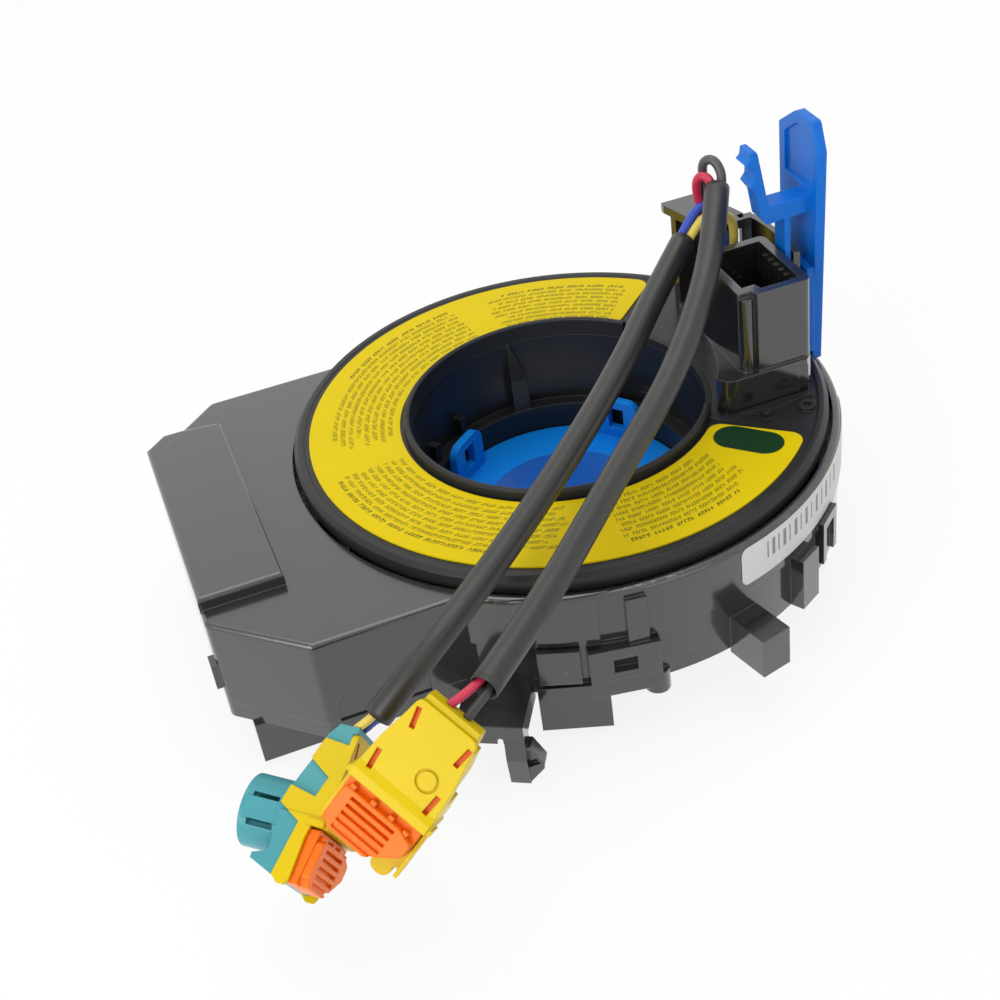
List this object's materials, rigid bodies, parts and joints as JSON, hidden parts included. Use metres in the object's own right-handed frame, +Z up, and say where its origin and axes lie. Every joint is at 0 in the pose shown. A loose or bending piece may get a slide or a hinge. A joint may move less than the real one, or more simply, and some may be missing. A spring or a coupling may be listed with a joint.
{
  "type": "steering clock spring",
  "caption": "Airbag clock spring with a ring-labelled rotor in a round case with a side deck, a connector tower, a blue lock clip and two sleeved leads with right-angle plugs",
  "frame": {"origin": "on the bore axis at the underside of the drum", "axes": "+Z up along the steering axis, -X toward the deck, the connector tower on the +X side"},
  "size_m": [0.1373, 0.1381, 0.0785],
  "materials": {
    "case_black": "moulded semi-gloss black",
    "rotor_black": "moulded semi-gloss black",
    "clip_blue": "slightly translucent blue",
    "sleeve_blue": "smooth blue",
    "label_yellow": "satin film",
    "label_white": "satin film",
    "lead_black": "satin sleeving",
    "wire_grey": "satin",
    "wire_red": "satin",
    "wire_blue": "satin",
    "wire_yellow": "satin",
    "plug_yellow": "smooth yellow",
    "plug_teal": "smooth teal",
    "lock_orange": "smooth orange",
    "contact_brass": "plated",
    "cable_film": "amber film"
  },
  "bodies": {
    "case": {"upper_case": "case_black", "lower_cover": "case_black", "column_socket": "case_black", "column_pins": "contact_brass", "cable_block_outer": "case_black", "flat_cable": "cable_film", "side_sticker": "label_white"},
    "rotor": {"rotor_disc": "rotor_black", "bore_lip": "rotor_black", "ring_label": "label_yellow", "cable_block_inner": "rotor_black", "connector_tower": "rotor_black", "tower_pins": "contact_brass", "roof_post": "rotor_black", "retaining_sleeve": "sleeve_blue", "lead_a": "lead_black", "lead_b": "lead_black", "tail_a_red": "wire_yellow", "tail_a_black": "wire_blue", "tail_b_red": "wire_red", "tail_b_black": "wire_grey", "wire_grey": "wire_grey", "wire_red": "wire_red", "wire_blue": "wire_blue", "wire_yellow": "wire_yellow", "plug_a_cover": "plug_yellow", "plug_a_base": "plug_teal", "plug_a_contacts": "contact_brass", "plug_b_cover": "plug_yellow", "plug_b_base": "plug_yellow", "plug_b_contacts": "contact_brass"},
    "clip": {"lock_clip": "clip_blue"},
    "lock_a": {"plug_a_lock": "lock_orange"},
    "lock_b": {"plug_b_lock": "lock_orange"}
  },
  "joints": [
    {"name": "rotor_spin", "type": "hinge", "parent": "case", "child": "rotor", "pos_m": [0, 0, 0], "axis": [0, 0, 1], "range_deg": [-900, 900]},
    {"name": "clip_pull", "type": "slide", "parent": "rotor", "child": "clip", "axis": [0, 0, 1], "range_m": [0, 0.02]},
    {"name": "lock_a_lift", "type": "slide", "parent": "rotor", "child": "lock_a", "axis": [0.7624, -0.6433, -0.0703], "range_m": [0, 0.003]},
    {"name": "lock_b_lift", "type": "slide", "parent": "rotor", "child": "lock_b", "axis": [-0.4261, -0.6947, 0.5794], "range_m": [0, 0.003]}
  ]
}
